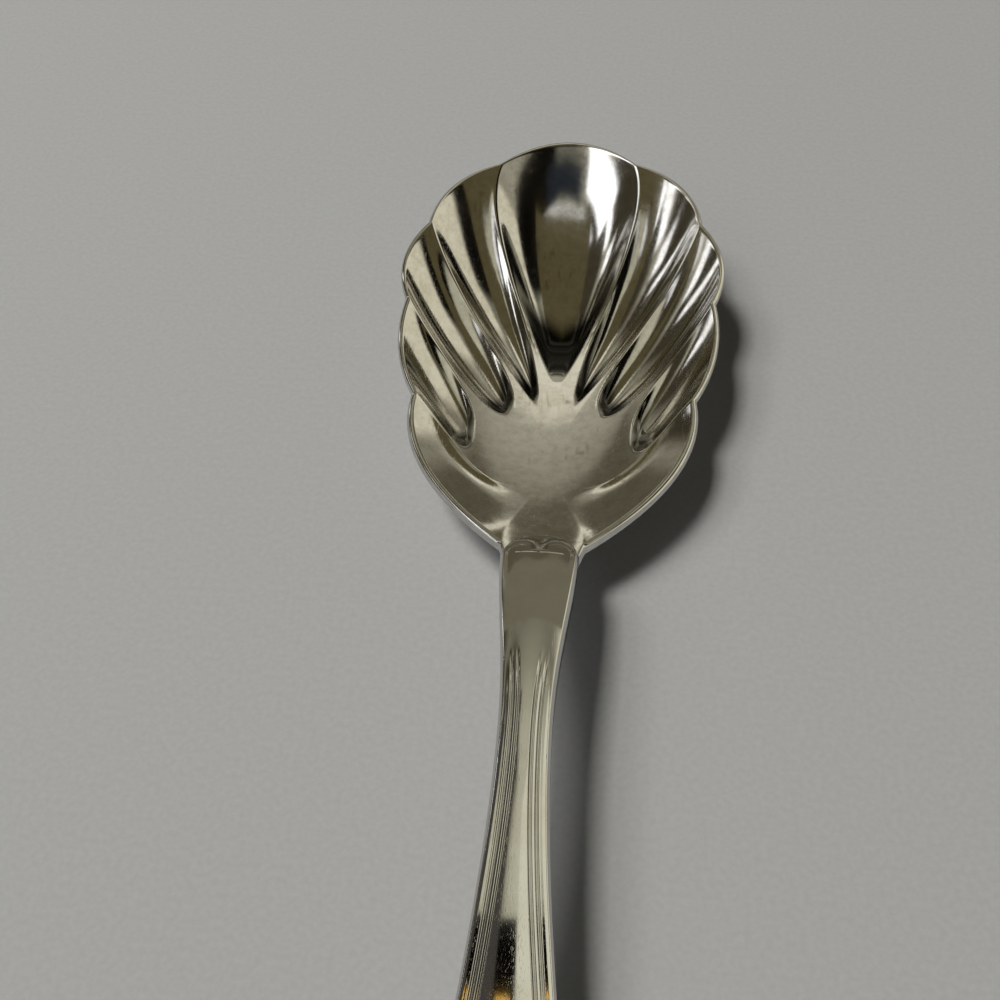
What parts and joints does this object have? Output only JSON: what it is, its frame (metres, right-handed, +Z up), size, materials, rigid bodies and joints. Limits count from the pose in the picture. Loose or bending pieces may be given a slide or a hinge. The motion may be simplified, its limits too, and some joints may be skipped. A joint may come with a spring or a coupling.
{
  "type": "sugar spoon",
  "caption": "Sugar spoon with a deep fluted shell bowl and a slim handle with threaded edges, for serving sugar.",
  "frame": {"origin": "middle of the spoon's length and width, on the surface that it lies on", "axes": "+Y along the spoon to the tip of the bowl, +X to the right seen from above, +Z up"},
  "size_m": [0.04, 0.1518, 0.0139],
  "materials": {
    "polished_steel_bowl": "bright polished 18/10 stainless steel, pressed, with fine wiping scratches and dried water marks",
    "polished_steel_handle": "bright polished stainless steel, die struck, with fine lengthwise scratches",
    "silver_braze": "silver braze, slightly dulled"
  },
  "bodies": {
    "root": {"bowl": "polished_steel_bowl", "handle": "polished_steel_handle", "braze_seam": "silver_braze"}
  },
  "joints": []
}
